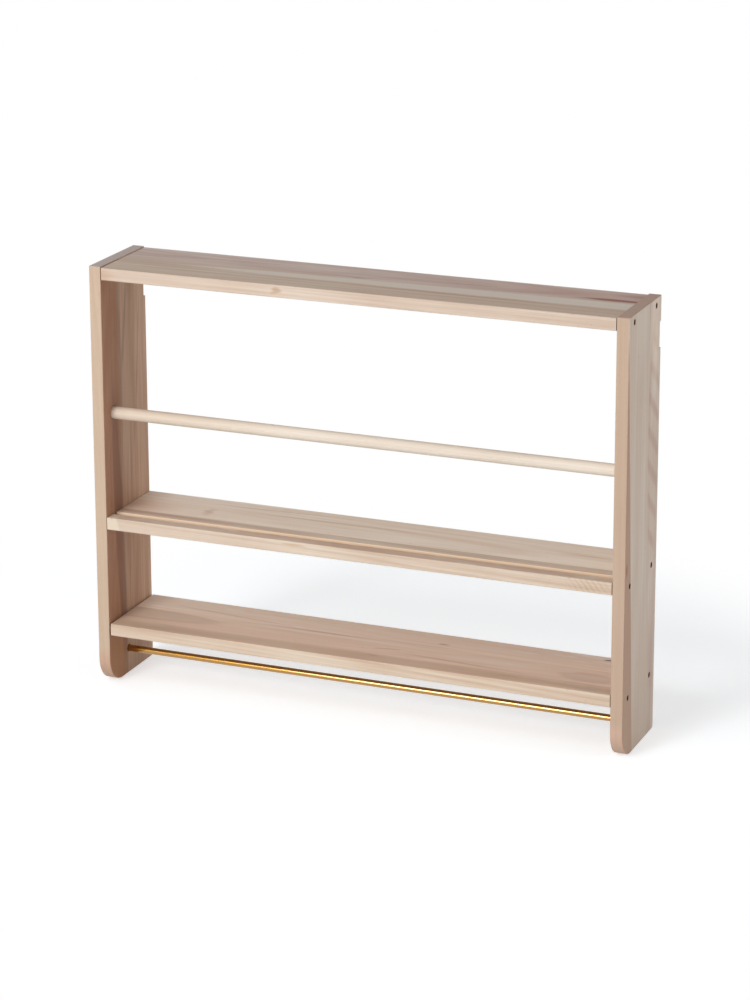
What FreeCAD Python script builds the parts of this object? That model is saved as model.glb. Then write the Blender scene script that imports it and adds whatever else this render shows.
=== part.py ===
"""Wall-hung plate shelf in solid wood, with a plate groove, a wooden plate rail and a brass hook rail.

Millimetres, +Z up. The front faces -Y and X runs along the shelf. The origin lies at floor level, midway
between the two side panels and midway between their front and back edges. Every piece of the left-hand
side is modelled where it sits, and the right-hand side is its mirror image.
"""
import FreeCAD
import Part

import math
import os

V = FreeCAD.Vector

# Overall size
WIDTH = 800.0
DEPTH = 140.0
HEIGHT = 628.0

# Boards
PANEL_THICKNESS = 18.0
TOP_BOARD_THICKNESS = 18.0
MIDDLE_SHELF_THICKNESS = 18.0
BOTTOM_SHELF_THICKNESS = 18.0
ARRIS = 1.0
FOOT_RADIUS = 40.0
HEEL_RADIUS = 5.0

# Places of the boards: the top board sits a little inside the panels' top and back edges
TOP_BOARD_DROP = 1.5
TOP_BOARD_BACK_INSET = 1.0
MIDDLE_SHELF_TOP = 257.0
BOTTOM_SHELF_TOP = 95.5

# Plate groove along the front of the middle shelf
GROOVE_LIP = 20.0
GROOVE_WIDTH = 10.0
GROOVE_DEPTH = 6.0
GROOVE_ARRIS = 0.8

# Rails, which turn freely in blind sockets of the panels
PLATE_RAIL_DIAMETER = 18.0
PLATE_RAIL_RISE = 149.5
PLATE_RAIL_SETBACK = 31.0
PLATE_RAIL_SOCKET = 9.0
HOOK_RAIL_DIAMETER = 10.0
HOOK_RAIL_DROP = 40.0
HOOK_RAIL_SETBACK = 61.5
HOOK_RAIL_SOCKET = 9.0
RUNNING_CLEARANCE = 0.05
END_PLAY = 0.3

# Assembly screws, sunk into the panels' outer faces: two for each board end
SCREW_SETBACK = 22.0
SCREW_LENGTH = 50.0
SCREW_DIAMETER = 5.0
SCREW_HEAD_DIAMETER = 7.6
SCREW_HEAD_HEIGHT = 3.0
SCREW_SOCKET_ACROSS = 4.0
SCREW_SOCKET_DEPTH = 2.0
COUNTERBORE_ROOM = 0.2
COUNTERBORE_DEPTH = 8.0
THROUGH_HOLE_ROOM = 0.25
PILOT_CLEARANCE = 0.05
PILOT_END_ROOM = 2.0

# Hanger notch across each panel's back edge, and the keyhole plate on its floor
NOTCH_DROP = 36.5
NOTCH_END_ROOM = 0.75
NOTCH_DEPTH = 6.0
HANGER_HEIGHT = 36.0
HANGER_WIDTH = 16.0
HANGER_THICKNESS = 2.0
HANGER_CORNER = 3.0
KEYHOLE_DIAMETER = 9.5
KEYHOLE_SLOT_WIDTH = 5.0
KEYHOLE_TRAVEL = 9.0
KEYHOLE_DROP = 3.5
POCKET_SIDE_ROOM = 0.5
POCKET_DEPTH = 5.0

# Pan-head screws that hold a hanger plate
HANGER_SCREW_EDGE = 4.0
HANGER_SCREW_DIAMETER = 3.0
HANGER_SCREW_LENGTH = 16.0
HANGER_SCREW_HEAD_DIAMETER = 6.0
HANGER_SCREW_HEAD_HEIGHT = 1.8

# Places that follow from the sizes above
FRONT = -DEPTH / 2
BACK = DEPTH / 2
PANEL_OUTER = -WIDTH / 2
PANEL_INNER = PANEL_OUTER + PANEL_THICKNESS
PANEL_MIDDLE = PANEL_OUTER + PANEL_THICKNESS / 2
TOP_BOARD_TOP = HEIGHT - TOP_BOARD_DROP
PLATE_RAIL_Y = FRONT + PLATE_RAIL_SETBACK
PLATE_RAIL_Z = MIDDLE_SHELF_TOP + PLATE_RAIL_RISE
HOOK_RAIL_Y = FRONT + HOOK_RAIL_SETBACK
HOOK_RAIL_Z = BOTTOM_SHELF_TOP - BOTTOM_SHELF_THICKNESS - HOOK_RAIL_DROP
SCREW_ROWS = (FRONT + SCREW_SETBACK, BACK - SCREW_SETBACK)
BOARD_MIDDLES = {
    "top": TOP_BOARD_TOP - TOP_BOARD_THICKNESS / 2,
    "middle": MIDDLE_SHELF_TOP - MIDDLE_SHELF_THICKNESS / 2,
    "bottom": BOTTOM_SHELF_TOP - BOTTOM_SHELF_THICKNESS / 2,
}
COUNTERBORE_DIAMETER = SCREW_HEAD_DIAMETER + 2 * COUNTERBORE_ROOM
COUNTERBORE_FLOOR = PANEL_OUTER + COUNTERBORE_DEPTH
THROUGH_HOLE_DIAMETER = SCREW_DIAMETER + 2 * THROUGH_HOLE_ROOM
NOTCH_HEIGHT = HANGER_HEIGHT + 2 * NOTCH_END_ROOM
NOTCH_FLOOR = BACK - NOTCH_DEPTH
NOTCH_TOP = HEIGHT - NOTCH_DROP
HANGER_Z = NOTCH_TOP - NOTCH_HEIGHT / 2
KEYHOLE_ENTRY_Z = HANGER_Z - KEYHOLE_DROP
HANGER_BACK = NOTCH_FLOOR + HANGER_THICKNESS
HANGER_PILOT_DIAMETER = HANGER_SCREW_DIAMETER + 2 * PILOT_CLEARANCE
HANGER_SCREW_REACH = HANGER_HEIGHT / 2 - HANGER_SCREW_EDGE
HANGER_SCREW_ROWS = (HANGER_Z - HANGER_SCREW_REACH, HANGER_Z + HANGER_SCREW_REACH)


def box(low, high):
    """Box between two corners."""
    return Part.makeBox(*(high - low), low)


def cylinder(start, direction, length, diameter):
    """Round bar from a point along a direction."""
    return Part.makeCylinder(diameter / 2, length, start, direction)


def mirrored(shape):
    """The same piece on the right-hand side."""
    return shape.mirror(V(0, 0, 0), V(1, 0, 0))


def panel_outline():
    """Side view of a panel at its outer face: a rectangle with a large foot radius at the front."""
    bend = 1 - 1 / math.sqrt(2)

    def point(y, z):
        return V(PANEL_OUTER, y, z)

    foot = (
        point(FRONT, FOOT_RADIUS),
        point(FRONT + bend * FOOT_RADIUS, bend * FOOT_RADIUS),
        point(FRONT + FOOT_RADIUS, 0),
    )
    heel = (
        point(BACK - HEEL_RADIUS, 0),
        point(BACK - bend * HEEL_RADIUS, bend * HEEL_RADIUS),
        point(BACK, HEEL_RADIUS),
    )
    edges = [
        Part.Arc(*foot).toShape(),
        Part.makeLine(foot[-1], heel[0]),
        Part.Arc(*heel).toShape(),
        Part.makeLine(heel[-1], point(BACK, HEIGHT)),
        Part.makeLine(point(BACK, HEIGHT), point(FRONT, HEIGHT)),
        Part.makeLine(point(FRONT, HEIGHT), foot[0]),
    ]
    return Part.Wire(edges)


def keyhole(start, direction, depth, entry_diameter, slot_width):
    """Cutter for a keyhole: a round entry with a narrower slot rising from it to a rounded seat."""
    rise = V(0, 0, KEYHOLE_TRAVEL)
    half = V(slot_width / 2, 0, 0)
    corners = [start - half, start + half, start + half + rise, start - half + rise]
    slot = Part.Face(Part.makePolygon(corners + corners[:1])).extrude(direction * depth)
    entry = cylinder(start, direction, depth, entry_diameter)
    seat = cylinder(start + rise, direction, depth, slot_width)
    return entry.multiFuse([slot, seat])


def left_panel():
    """Left side panel: rounded foot, eased edges, sunk screw holes, rail sockets and hanger notch."""
    panel = Part.Face(panel_outline()).extrude(V(PANEL_THICKNESS, 0, 0))
    sharp = [
        edge for edge in panel.Edges if edge.BoundBox.XLength < ARRIS or edge.BoundBox.ZMin > HEIGHT - ARRIS
    ]
    panel = panel.makeChamfer(ARRIS, sharp)
    cutters = [box(V(PANEL_OUTER, NOTCH_FLOOR, NOTCH_TOP - NOTCH_HEIGHT), V(PANEL_INNER, BACK, NOTCH_TOP))]
    for z in BOARD_MIDDLES.values():
        for y in SCREW_ROWS:
            outer = V(PANEL_OUTER, y, z)
            cutters.append(cylinder(outer, V(1, 0, 0), COUNTERBORE_DEPTH, COUNTERBORE_DIAMETER))
            cutters.append(cylinder(outer, V(1, 0, 0), PANEL_THICKNESS, THROUGH_HOLE_DIAMETER))
    for y, z, diameter, depth in (
        (PLATE_RAIL_Y, PLATE_RAIL_Z, PLATE_RAIL_DIAMETER, PLATE_RAIL_SOCKET),
        (HOOK_RAIL_Y, HOOK_RAIL_Z, HOOK_RAIL_DIAMETER, HOOK_RAIL_SOCKET),
    ):
        mouth = V(PANEL_INNER, y, z)
        cutters.append(cylinder(mouth, V(-1, 0, 0), depth, diameter + 2 * RUNNING_CLEARANCE))
    pocket_width = KEYHOLE_DIAMETER + 2 * POCKET_SIDE_ROOM
    entry = V(PANEL_MIDDLE, NOTCH_FLOOR, KEYHOLE_ENTRY_Z)
    cutters.append(keyhole(entry, V(0, -1, 0), POCKET_DEPTH, pocket_width, pocket_width))
    pilot_length = HANGER_SCREW_LENGTH - HANGER_THICKNESS + PILOT_END_ROOM
    for z in HANGER_SCREW_ROWS:
        pilot = V(PANEL_MIDDLE, NOTCH_FLOOR, z)
        cutters.append(cylinder(pilot, V(0, -1, 0), pilot_length, HANGER_PILOT_DIAMETER))
    return panel.cut(cutters)


def board(top, thickness, back):
    """Board between the panels with all its edges eased and two screw pilots in each end."""
    blank = box(V(PANEL_INNER, FRONT, top - thickness), V(-PANEL_INNER, back, top))
    eased = blank.makeChamfer(ARRIS, blank.Edges)
    pilot_length = SCREW_LENGTH - (PANEL_THICKNESS - COUNTERBORE_DEPTH) + PILOT_END_ROOM
    pilot_diameter = SCREW_DIAMETER + 2 * PILOT_CLEARANCE
    left_pilots = [
        cylinder(V(PANEL_INNER, y, top - thickness / 2), V(1, 0, 0), pilot_length, pilot_diameter)
        for y in SCREW_ROWS
    ]
    return eased.cut(left_pilots + [mirrored(pilot) for pilot in left_pilots])


def plate_groove():
    """Cutter for the plate groove: square in the bottom, with its two top edges rounded over."""
    front = FRONT + GROOVE_LIP
    back = front + GROOVE_WIDTH
    top = MIDDLE_SHELF_TOP
    floor = top - GROOVE_DEPTH
    above = top + GROOVE_ARRIS
    bend = GROOVE_ARRIS * (1 - 1 / math.sqrt(2))

    def point(y, z):
        return V(PANEL_INNER, y, z)

    edges = [
        Part.makeLine(point(front, floor), point(back, floor)),
        Part.makeLine(point(back, floor), point(back, top - GROOVE_ARRIS)),
        Part.Arc(
            point(back, top - GROOVE_ARRIS), point(back + bend, top - bend), point(back + GROOVE_ARRIS, top)
        ).toShape(),
        Part.makeLine(point(back + GROOVE_ARRIS, top), point(back + GROOVE_ARRIS, above)),
        Part.makeLine(point(back + GROOVE_ARRIS, above), point(front - GROOVE_ARRIS, above)),
        Part.makeLine(point(front - GROOVE_ARRIS, above), point(front - GROOVE_ARRIS, top)),
        Part.Arc(
            point(front - GROOVE_ARRIS, top), point(front - bend, top - bend), point(front, top - GROOVE_ARRIS)
        ).toShape(),
        Part.makeLine(point(front, top - GROOVE_ARRIS), point(front, floor)),
    ]
    return Part.Face(Part.Wire(edges)).extrude(V(-2 * PANEL_INNER, 0, 0))


def rail(y, z, diameter, socket):
    """Round rail whose ends reach into both panels' sockets with a little end play."""
    half_length = socket - END_PLAY - PANEL_INNER
    return cylinder(V(-half_length, y, z), V(1, 0, 0), 2 * half_length, diameter)


def screw(seat, direction, diameter, length, head_diameter, head_height):
    """Turned screw blank with a round head that rests on its seat and a shank that runs on from there."""
    shank = diameter / 2
    head = head_diameter / 2
    profile = [
        V(0, 0, -head_height),
        V(head, 0, -head_height),
        V(head, 0, 0),
        V(shank, 0, 0),
        V(shank, 0, length),
        V(0, 0, length),
    ]
    blank = Part.Face(Part.makePolygon(profile + profile[:1])).revolve(V(0, 0, 0), V(0, 0, 1), 360)
    blank.Placement = FreeCAD.Placement(seat, FreeCAD.Rotation(V(0, 0, 1), direction))
    return blank


def assembly_screw(y, z):
    """Assembly screw on the left: its head rests on the counterbore's floor, its shank in the board."""
    seat = V(COUNTERBORE_FLOOR, y, z)
    blank = screw(seat, V(1, 0, 0), SCREW_DIAMETER, SCREW_LENGTH, SCREW_HEAD_DIAMETER, SCREW_HEAD_HEIGHT)
    crown = seat - V(SCREW_HEAD_HEIGHT, 0, 0)
    corner_radius = SCREW_SOCKET_ACROSS / math.sqrt(3)
    corners = [
        crown + V(0, corner_radius * math.cos(turn), corner_radius * math.sin(turn))
        for turn in (math.radians(60 * step) for step in range(6))
    ]
    hexagon = Part.Face(Part.makePolygon(corners + corners[:1]))
    return blank.cut(hexagon.extrude(V(SCREW_SOCKET_DEPTH, 0, 0)))


def screw_pair(z):
    """The two assembly screws at the left end of one board."""
    return Part.makeCompound([assembly_screw(y, z) for y in SCREW_ROWS])


def hanger_plate():
    """Left keyhole plate: rounded corners, a keyhole and two screw holes."""
    half = V(HANGER_WIDTH / 2, 0, HANGER_HEIGHT / 2)
    centre = V(PANEL_MIDDLE, NOTCH_FLOOR, HANGER_Z)
    plate = box(centre - half, centre + half + V(0, HANGER_THICKNESS, 0))
    corners = [edge for edge in plate.Edges if edge.BoundBox.YLength > HANGER_THICKNESS / 2]
    plate = plate.makeFillet(HANGER_CORNER, corners)
    entry = V(PANEL_MIDDLE, NOTCH_FLOOR, KEYHOLE_ENTRY_Z)
    cutters = [keyhole(entry, V(0, 1, 0), HANGER_THICKNESS, KEYHOLE_DIAMETER, KEYHOLE_SLOT_WIDTH)]
    for z in HANGER_SCREW_ROWS:
        front = V(PANEL_MIDDLE, NOTCH_FLOOR, z)
        cutters.append(cylinder(front, V(0, 1, 0), HANGER_THICKNESS, HANGER_PILOT_DIAMETER))
    return plate.cut(cutters)


def hanger_screws():
    """The two screws of the left hanger plate."""
    screws = []
    for z in HANGER_SCREW_ROWS:
        seat = V(PANEL_MIDDLE, HANGER_BACK, z)
        head = (HANGER_SCREW_HEAD_DIAMETER, HANGER_SCREW_HEAD_HEIGHT)
        screws.append(screw(seat, V(0, -1, 0), HANGER_SCREW_DIAMETER, HANGER_SCREW_LENGTH, *head))
    return Part.makeCompound(screws)


def build():
    """All pieces by name."""
    middle_shelf = board(MIDDLE_SHELF_TOP, MIDDLE_SHELF_THICKNESS, BACK).cut(plate_groove())
    pieces = {
        "top_board": board(TOP_BOARD_TOP, TOP_BOARD_THICKNESS, BACK - TOP_BOARD_BACK_INSET),
        "middle_shelf": middle_shelf,
        "bottom_shelf": board(BOTTOM_SHELF_TOP, BOTTOM_SHELF_THICKNESS, BACK),
        "plate_rail": rail(PLATE_RAIL_Y, PLATE_RAIL_Z, PLATE_RAIL_DIAMETER, PLATE_RAIL_SOCKET),
        "hook_rail": rail(HOOK_RAIL_Y, HOOK_RAIL_Z, HOOK_RAIL_DIAMETER, HOOK_RAIL_SOCKET),
    }
    left_hand = {
        "{}_side_panel": left_panel(),
        "{}_hanger_plate": hanger_plate(),
        "{}_hanger_screws": hanger_screws(),
    }
    for level, z in BOARD_MIDDLES.items():
        left_hand[level + "_{}_screws"] = screw_pair(z)
    for name, shape in left_hand.items():
        pieces[name.format("left")] = shape
        pieces[name.format("right")] = mirrored(shape)
    return pieces


def main():
    """Writes one STEP file for each piece."""
    os.makedirs("parts", exist_ok=True)
    for name, shape in build().items():
        if not shape.isValid():
            raise ValueError(name + " is not a valid solid")
        shape.exportStep("parts/" + name + ".step")
        print(name, len(shape.Solids), round(shape.Volume, 1))


main()
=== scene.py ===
"""Wall-hung plate shelf, dressed for the camera.

Five boards of raw edge-glued tulipwood, a pale dowel that keeps plates from tipping, a brass rod for hooks,
and the screws and keyhole plates that hold it together and up. Sizes are in millimetres, in the frame of the
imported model, and become metres where a mesh is written.
"""
import logging
import math
from collections.abc import Callable, Iterable, Sequence
from dataclasses import dataclass
from enum import Enum
from functools import partial

import bmesh
import bpy
from bmesh.types import BMEdge, BMesh, BMVert
from bpy.types import ID, Material, Mesh, NodeSocket, NodeTree, Object
from mathutils import Matrix, Vector


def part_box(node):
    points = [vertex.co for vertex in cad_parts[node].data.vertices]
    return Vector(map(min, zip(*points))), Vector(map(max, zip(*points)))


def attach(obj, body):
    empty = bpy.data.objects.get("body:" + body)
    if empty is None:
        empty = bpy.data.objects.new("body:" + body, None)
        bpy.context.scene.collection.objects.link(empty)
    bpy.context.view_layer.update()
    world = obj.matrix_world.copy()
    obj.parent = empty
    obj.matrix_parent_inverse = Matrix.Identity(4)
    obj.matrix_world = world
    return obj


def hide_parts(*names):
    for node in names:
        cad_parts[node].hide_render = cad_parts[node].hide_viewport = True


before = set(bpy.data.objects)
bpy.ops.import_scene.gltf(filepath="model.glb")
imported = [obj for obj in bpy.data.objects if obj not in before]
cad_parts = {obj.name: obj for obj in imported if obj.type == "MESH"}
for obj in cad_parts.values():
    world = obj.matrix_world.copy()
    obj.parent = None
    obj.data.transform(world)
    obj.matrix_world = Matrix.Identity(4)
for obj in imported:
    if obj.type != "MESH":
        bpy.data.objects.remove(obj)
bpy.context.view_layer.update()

log = logging.getLogger("plate_shelf")

Pair = tuple[float, float]
Triple = tuple[float, float, float]
Stops = Sequence[tuple[float, Sequence[float]]]
Adder = Callable[..., NodeSocket]
# Radius of a rounding, and the faces across it.
Rounding = tuple[float, int]

MM = 0.001
X_AXIS = Vector((1, 0, 0))
Y_AXIS = Vector((0, 1, 0))
Z_AXIS = Vector((0, 0, 1))
FRONT = -70.0
BACK = 70.0
SMOOTH_BELOW = math.radians(32)
ROUND_STEPS = 64
# How far a cutter reaches past the face that it cuts.
RUN_OUT = 1.0
# Places closer than the first are one place, and corners closer than the second are merged.
NEAR = 0.01
MERGED = 0.001
# Share of its length that a direction has along an axis that it is parallel to.
PARALLEL = 0.999
# Levels between which nearly all of a cloudy pattern lies.
NOISE_LOW, NOISE_HIGH = 0.3, 0.7


class Side(Enum):
    """End of the shelf that a piece belongs to, with its direction along X."""

    LEFT = -1
    RIGHT = 1

    @property
    def word(self) -> str:
        """The side's name as it stands in the pieces' names."""
        return self.name.lower()


class Grain(Enum):
    """Way that the fibres of a board run."""

    UPRIGHT = "upright"
    LENGTHWISE = "lengthwise"


def linear(colour: str) -> tuple[float, float, float, float]:
    """Turns an sRGB hex colour into Blender's linear colour.

    Args:
        colour: Six hex digits after a hash sign.

    Returns:
        Linear red, green and blue, and an alpha of 1.
    """
    shares = [int(colour[start : start + 2], 16) / 255 for start in (1, 3, 5)]
    red, green, blue = [s / 12.92 if s <= 0.04045 else ((s + 0.055) / 1.055) ** 2.4 for s in shares]
    return red, green, blue, 1.0


def add_node(
    tree: NodeTree,
    kind: str,
    inputs: dict[str | int, object] | None = None,
    out: str | int = 0,
    stops: Stops = (),
    **settings: object,
) -> NodeSocket | None:
    """Adds one node with its settings and links.

    A Mix node takes vectors at the inputs 4 and 5 for its output 1, and colours at 6 and 7 for its output 2.

    Args:
        tree: Node tree of a material or of the world.
        kind: Blender's name of the node's type, after its ShaderNode prefix.
        inputs: Value, or output socket to link, for each input by name or number.
        out: Output that is wanted, by name or number.
        stops: Position and colour of each step, for a stepped colour ramp.
        **settings: The node's own properties.

    Returns:
        The wanted output, or None for a node that ends the tree.
    """
    node = tree.nodes.new("ShaderNode" + kind)
    for name, value in settings.items():
        setattr(node, name, value)
    for key, value in (inputs or {}).items():
        if isinstance(value, NodeSocket):
            tree.links.new(value, node.inputs[key])
        else:
            node.inputs[key].default_value = value
    if stops:
        ramp = node.color_ramp
        ramp.interpolation = "CONSTANT"
        ramp.elements.remove(ramp.elements[1])
        ramp.elements[0].position, ramp.elements[0].color = stops[0]
        for position, colour in stops[1:]:
            ramp.elements.new(position).color = colour
    return node.outputs[out] if node.outputs else None


def new_material(name: str) -> tuple[Material, Adder]:
    """Starts a material with an empty node tree.

    Args:
        name: The material's name.

    Returns:
        The material, and add_node bound to its tree.
    """
    material = bpy.data.materials.new(name)
    material.use_nodes = True
    material.node_tree.nodes.clear()
    return material, partial(add_node, material.node_tree)


@dataclass(frozen=True)
class Stave:
    """One glued strip of a board.

    Attributes:
        front: Where the strip starts across the shelf's depth.
        pale: Colour of its early wood.
        deep: Colour of its late wood and its streaks.
        pith: Middle of its growth rings, across the depth and through the board.
        lean: How far that middle moves through the board for each millimetre along the grain.
    """

    front: float
    pale: str
    deep: str
    pith: Pair
    lean: float


@dataclass(frozen=True)
class Patch:
    """A stretch of another tone, cut off by a plane; some stand for other wood, some for painted shade and
    light.

    Attributes:
        normal: Direction of the plane in grain coordinates: along, across and through the board.
        offset: The patch lies where the grain coordinates' share along the normal is below this.
        colour: Tone that the patch takes.
        strength: Share of that tone.
        across: Middle and half width of the strip that the patch stays in.
        soft: Half width of its edge along the normal.
        feather: Half width of its edges across the strip.
    """

    normal: Triple
    offset: float
    colour: str
    strength: float
    across: Pair
    soft: float = 0.6
    feather: float = 0.4


@dataclass(frozen=True)
class Mark:
    """A spot drawn out along the grain: a knot, a streak, a tongue of other wood, or painted shade or light.

    Attributes:
        centre: Its middle in grain coordinates.
        reach: Its half sizes along, across and through the board.
        colour: Tone in its middle.
        strength: Share of that tone there.
        angle: Its angle to the grain, in degrees.
        core: Share of its reach that has the full tone.
        curl: Waves per millimetre along, across and through the board, where the fibres are curled.
    """

    centre: Triple
    reach: Triple
    colour: str
    strength: float
    angle: float = 0.0
    core: float = 0.2
    curl: Triple | None = None


@dataclass(frozen=True)
class Tulipwood:
    """Raw sanded tulipwood: matt, grey-beige to pinkish brown, with long quiet streaks and few dark flecks.

    The figure is solid, so it runs on over each edge: growth rings about a pith outside the board, drawn-out
    streaks, and fibres. The fibres are drawn about three times as coarse as they are, or they would not show.

    Attributes:
        name: The material's name.
        grain: Way that the fibres run.
        centre: Middle of the board.
        staves: Its strips from front to back.
        skew: How far the glue lines move across for each millimetre along the grain.
        patches: Stretches of another tone.
        marks: Knots, mineral streaks, and spots of painted shade and light.
        ring_width: Spacing of the growth rings.
        weights: Shares of rings, streaks and fibres in the figure.
        end_shade_and_sheen: End grain's tone, with painted shade at board ends and painted sheen on panel
            tops.
        edge: Tone of a panel's edges, which show another cut of the wood than its faces.
        foot: Tone of the edge round its foot.
    """

    name: str
    grain: Grain
    centre: Triple
    staves: tuple[Stave, ...]
    skew: float = 0.0
    patches: tuple[Patch, ...] = ()
    marks: tuple[Mark, ...] = ()
    ring_width: float = 5.0
    weights: Triple = (1.0, 1.2, 1.1)
    # The boards' dark ends are painted shade, which darkens their joints with the panels.
    end_shade_and_sheen: str = "#4A3830"
    edge: str | None = None
    foot: str = "#C49C84"

    # Sizes of the patterns' clouds along, across and through the board.
    STREAK = (520.0, 16.0, 16.0)
    FIBRE = (210.0, 2.6, 2.6)
    MOTTLE = (140.0, 34.0, 34.0)
    FLECK = (9.0, 1.6, 1.6)
    MOTTLE_WEIGHT = 0.9
    # Levels of their pattern between which flecks come up, and how strong they are.
    FLECK_RANGE = (0.83, 0.88)
    FLECK_SHARE = 0.35
    FLECK_COLOUR = "#7A5A44"
    # Largest pith and lean that a colour can carry.
    PITH_RANGE = 160.0
    LEAN_RANGE = 0.25
    # How the patterns of neighbouring staves are moved apart.
    SEED_STEPS = (0.37, 0.61, 0.83)
    SEED_REACH = (977.0, 311.0, 173.0)
    ROUGHNESS = (0.58, 0.7)
    SPECULAR = 0.3
    RELIEF_SHARE = 0.12
    RELIEF_DEPTH = 0.2

    def stave_stops(self, values: Iterable[Sequence[float]]) -> Stops:
        """Lists a value for each stave as the stops of a stepped ramp.

        Args:
            values: Four numbers for each stave, from front to back.

        Returns:
            The stops, from front to back.
        """
        starts = [max(0.0, (stave.front - FRONT) / (BACK - FRONT)) for stave in self.staves]
        return list(zip(starts, values))

    def pith_code(self, stave: Stave) -> Sequence[float]:
        """Packs a stave's pith and lean into a colour."""
        across, through = (0.5 + place / (2 * self.PITH_RANGE) for place in stave.pith)
        return across, through, 0.5 + stave.lean / (2 * self.LEAN_RANGE), 1.0

    def seed_code(self, row: int) -> Sequence[float]:
        """Packs the place that a stave's patterns are taken from into a colour."""
        return (*(step * row % 1 for step in self.SEED_STEPS), 1.0)

    def material(self) -> Material:
        """Builds the material.

        Returns:
            A material that reads Object coordinates.
        """
        material, node = new_material(self.name)
        sized = node("VectorMath", {0: node("TexCoord", out="Object"), "Scale": 1 / MM}, operation="SCALE")
        centred = node("VectorMath", {0: sized, 1: self.centre}, operation="SUBTRACT")
        along, across, through = (node("SeparateXYZ", {0: centred}, axis) for axis in "XYZ")
        if self.grain is Grain.UPRIGHT:
            along, through = through, along
        grain = node("CombineXYZ", {0: along, 1: across, 2: through})
        slanted = node("Math", {0: along, 1: self.skew, 2: across}, operation="MULTIPLY_ADD")
        strip = node("MapRange", {0: slanted, 1: FRONT, 2: BACK})
        codes = (
            [linear(stave.pale) for stave in self.staves],
            [linear(stave.deep) for stave in self.staves],
            [self.pith_code(stave) for stave in self.staves],
            [self.seed_code(row) for row in range(len(self.staves))],
        )
        pale, deep, pith, seed = (
            node("ValToRGB", {0: strip}, stops=self.stave_stops(values)) for values in codes
        )
        shifted = node("VectorMath", {0: seed, 1: self.SEED_REACH, 2: grain}, operation="MULTIPLY_ADD")
        figure = Figure(self, node, grain, shifted)
        streak, fibre, mottle, fleck = (
            figure.cloud(size, detail)
            for size, detail in ((self.STREAK, 2.0), (self.FIBRE, 2.0), (self.MOTTLE, 1.0), (self.FLECK, 0.0))
        )
        joined = node("CombineXYZ", {0: figure.rings(pith), 1: streak, 2: fibre})
        tone = node("VectorMath", {0: joined, 1: self.weights}, "Value", operation="DOT_PRODUCT")
        tone = node("Math", {0: mottle, 1: self.MOTTLE_WEIGHT, 2: tone}, operation="MULTIPLY_ADD")
        level = 0.5 - 0.5 * (sum(self.weights) + self.MOTTLE_WEIGHT)
        tone = node("Math", {0: tone, 1: level}, operation="ADD", use_clamp=True)
        plain = node("Mix", {0: tone, 6: pale, 7: deep}, 2, data_type="RGBA")
        colour = figure.local_tones(plain)
        if self.edge:
            colour = figure.edges(plain, colour)
        low, high = self.FLECK_RANGE
        spots = node("MapRange", {0: fleck, 1: low, 2: high, 3: 0.0, 4: self.FLECK_SHARE})
        colour = node("Mix", {0: spots, 6: colour, 7: linear(self.FLECK_COLOUR)}, 2, data_type="RGBA")
        low, high = self.ROUGHNESS
        relief = {"Strength": self.RELIEF_SHARE, "Distance": self.RELIEF_DEPTH * MM, "Height": fibre}
        look = {
            "Base Color": figure.end_grain_shade_and_sheen(colour),
            "Roughness": node("MapRange", {0: fibre, 1: NOISE_LOW, 2: NOISE_HIGH, 3: low, 4: high}),
            "Normal": node("Bump", relief),
            "Specular IOR Level": self.SPECULAR,
        }
        node("OutputMaterial", {0: node("BsdfPrincipled", look)})
        return material


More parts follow.
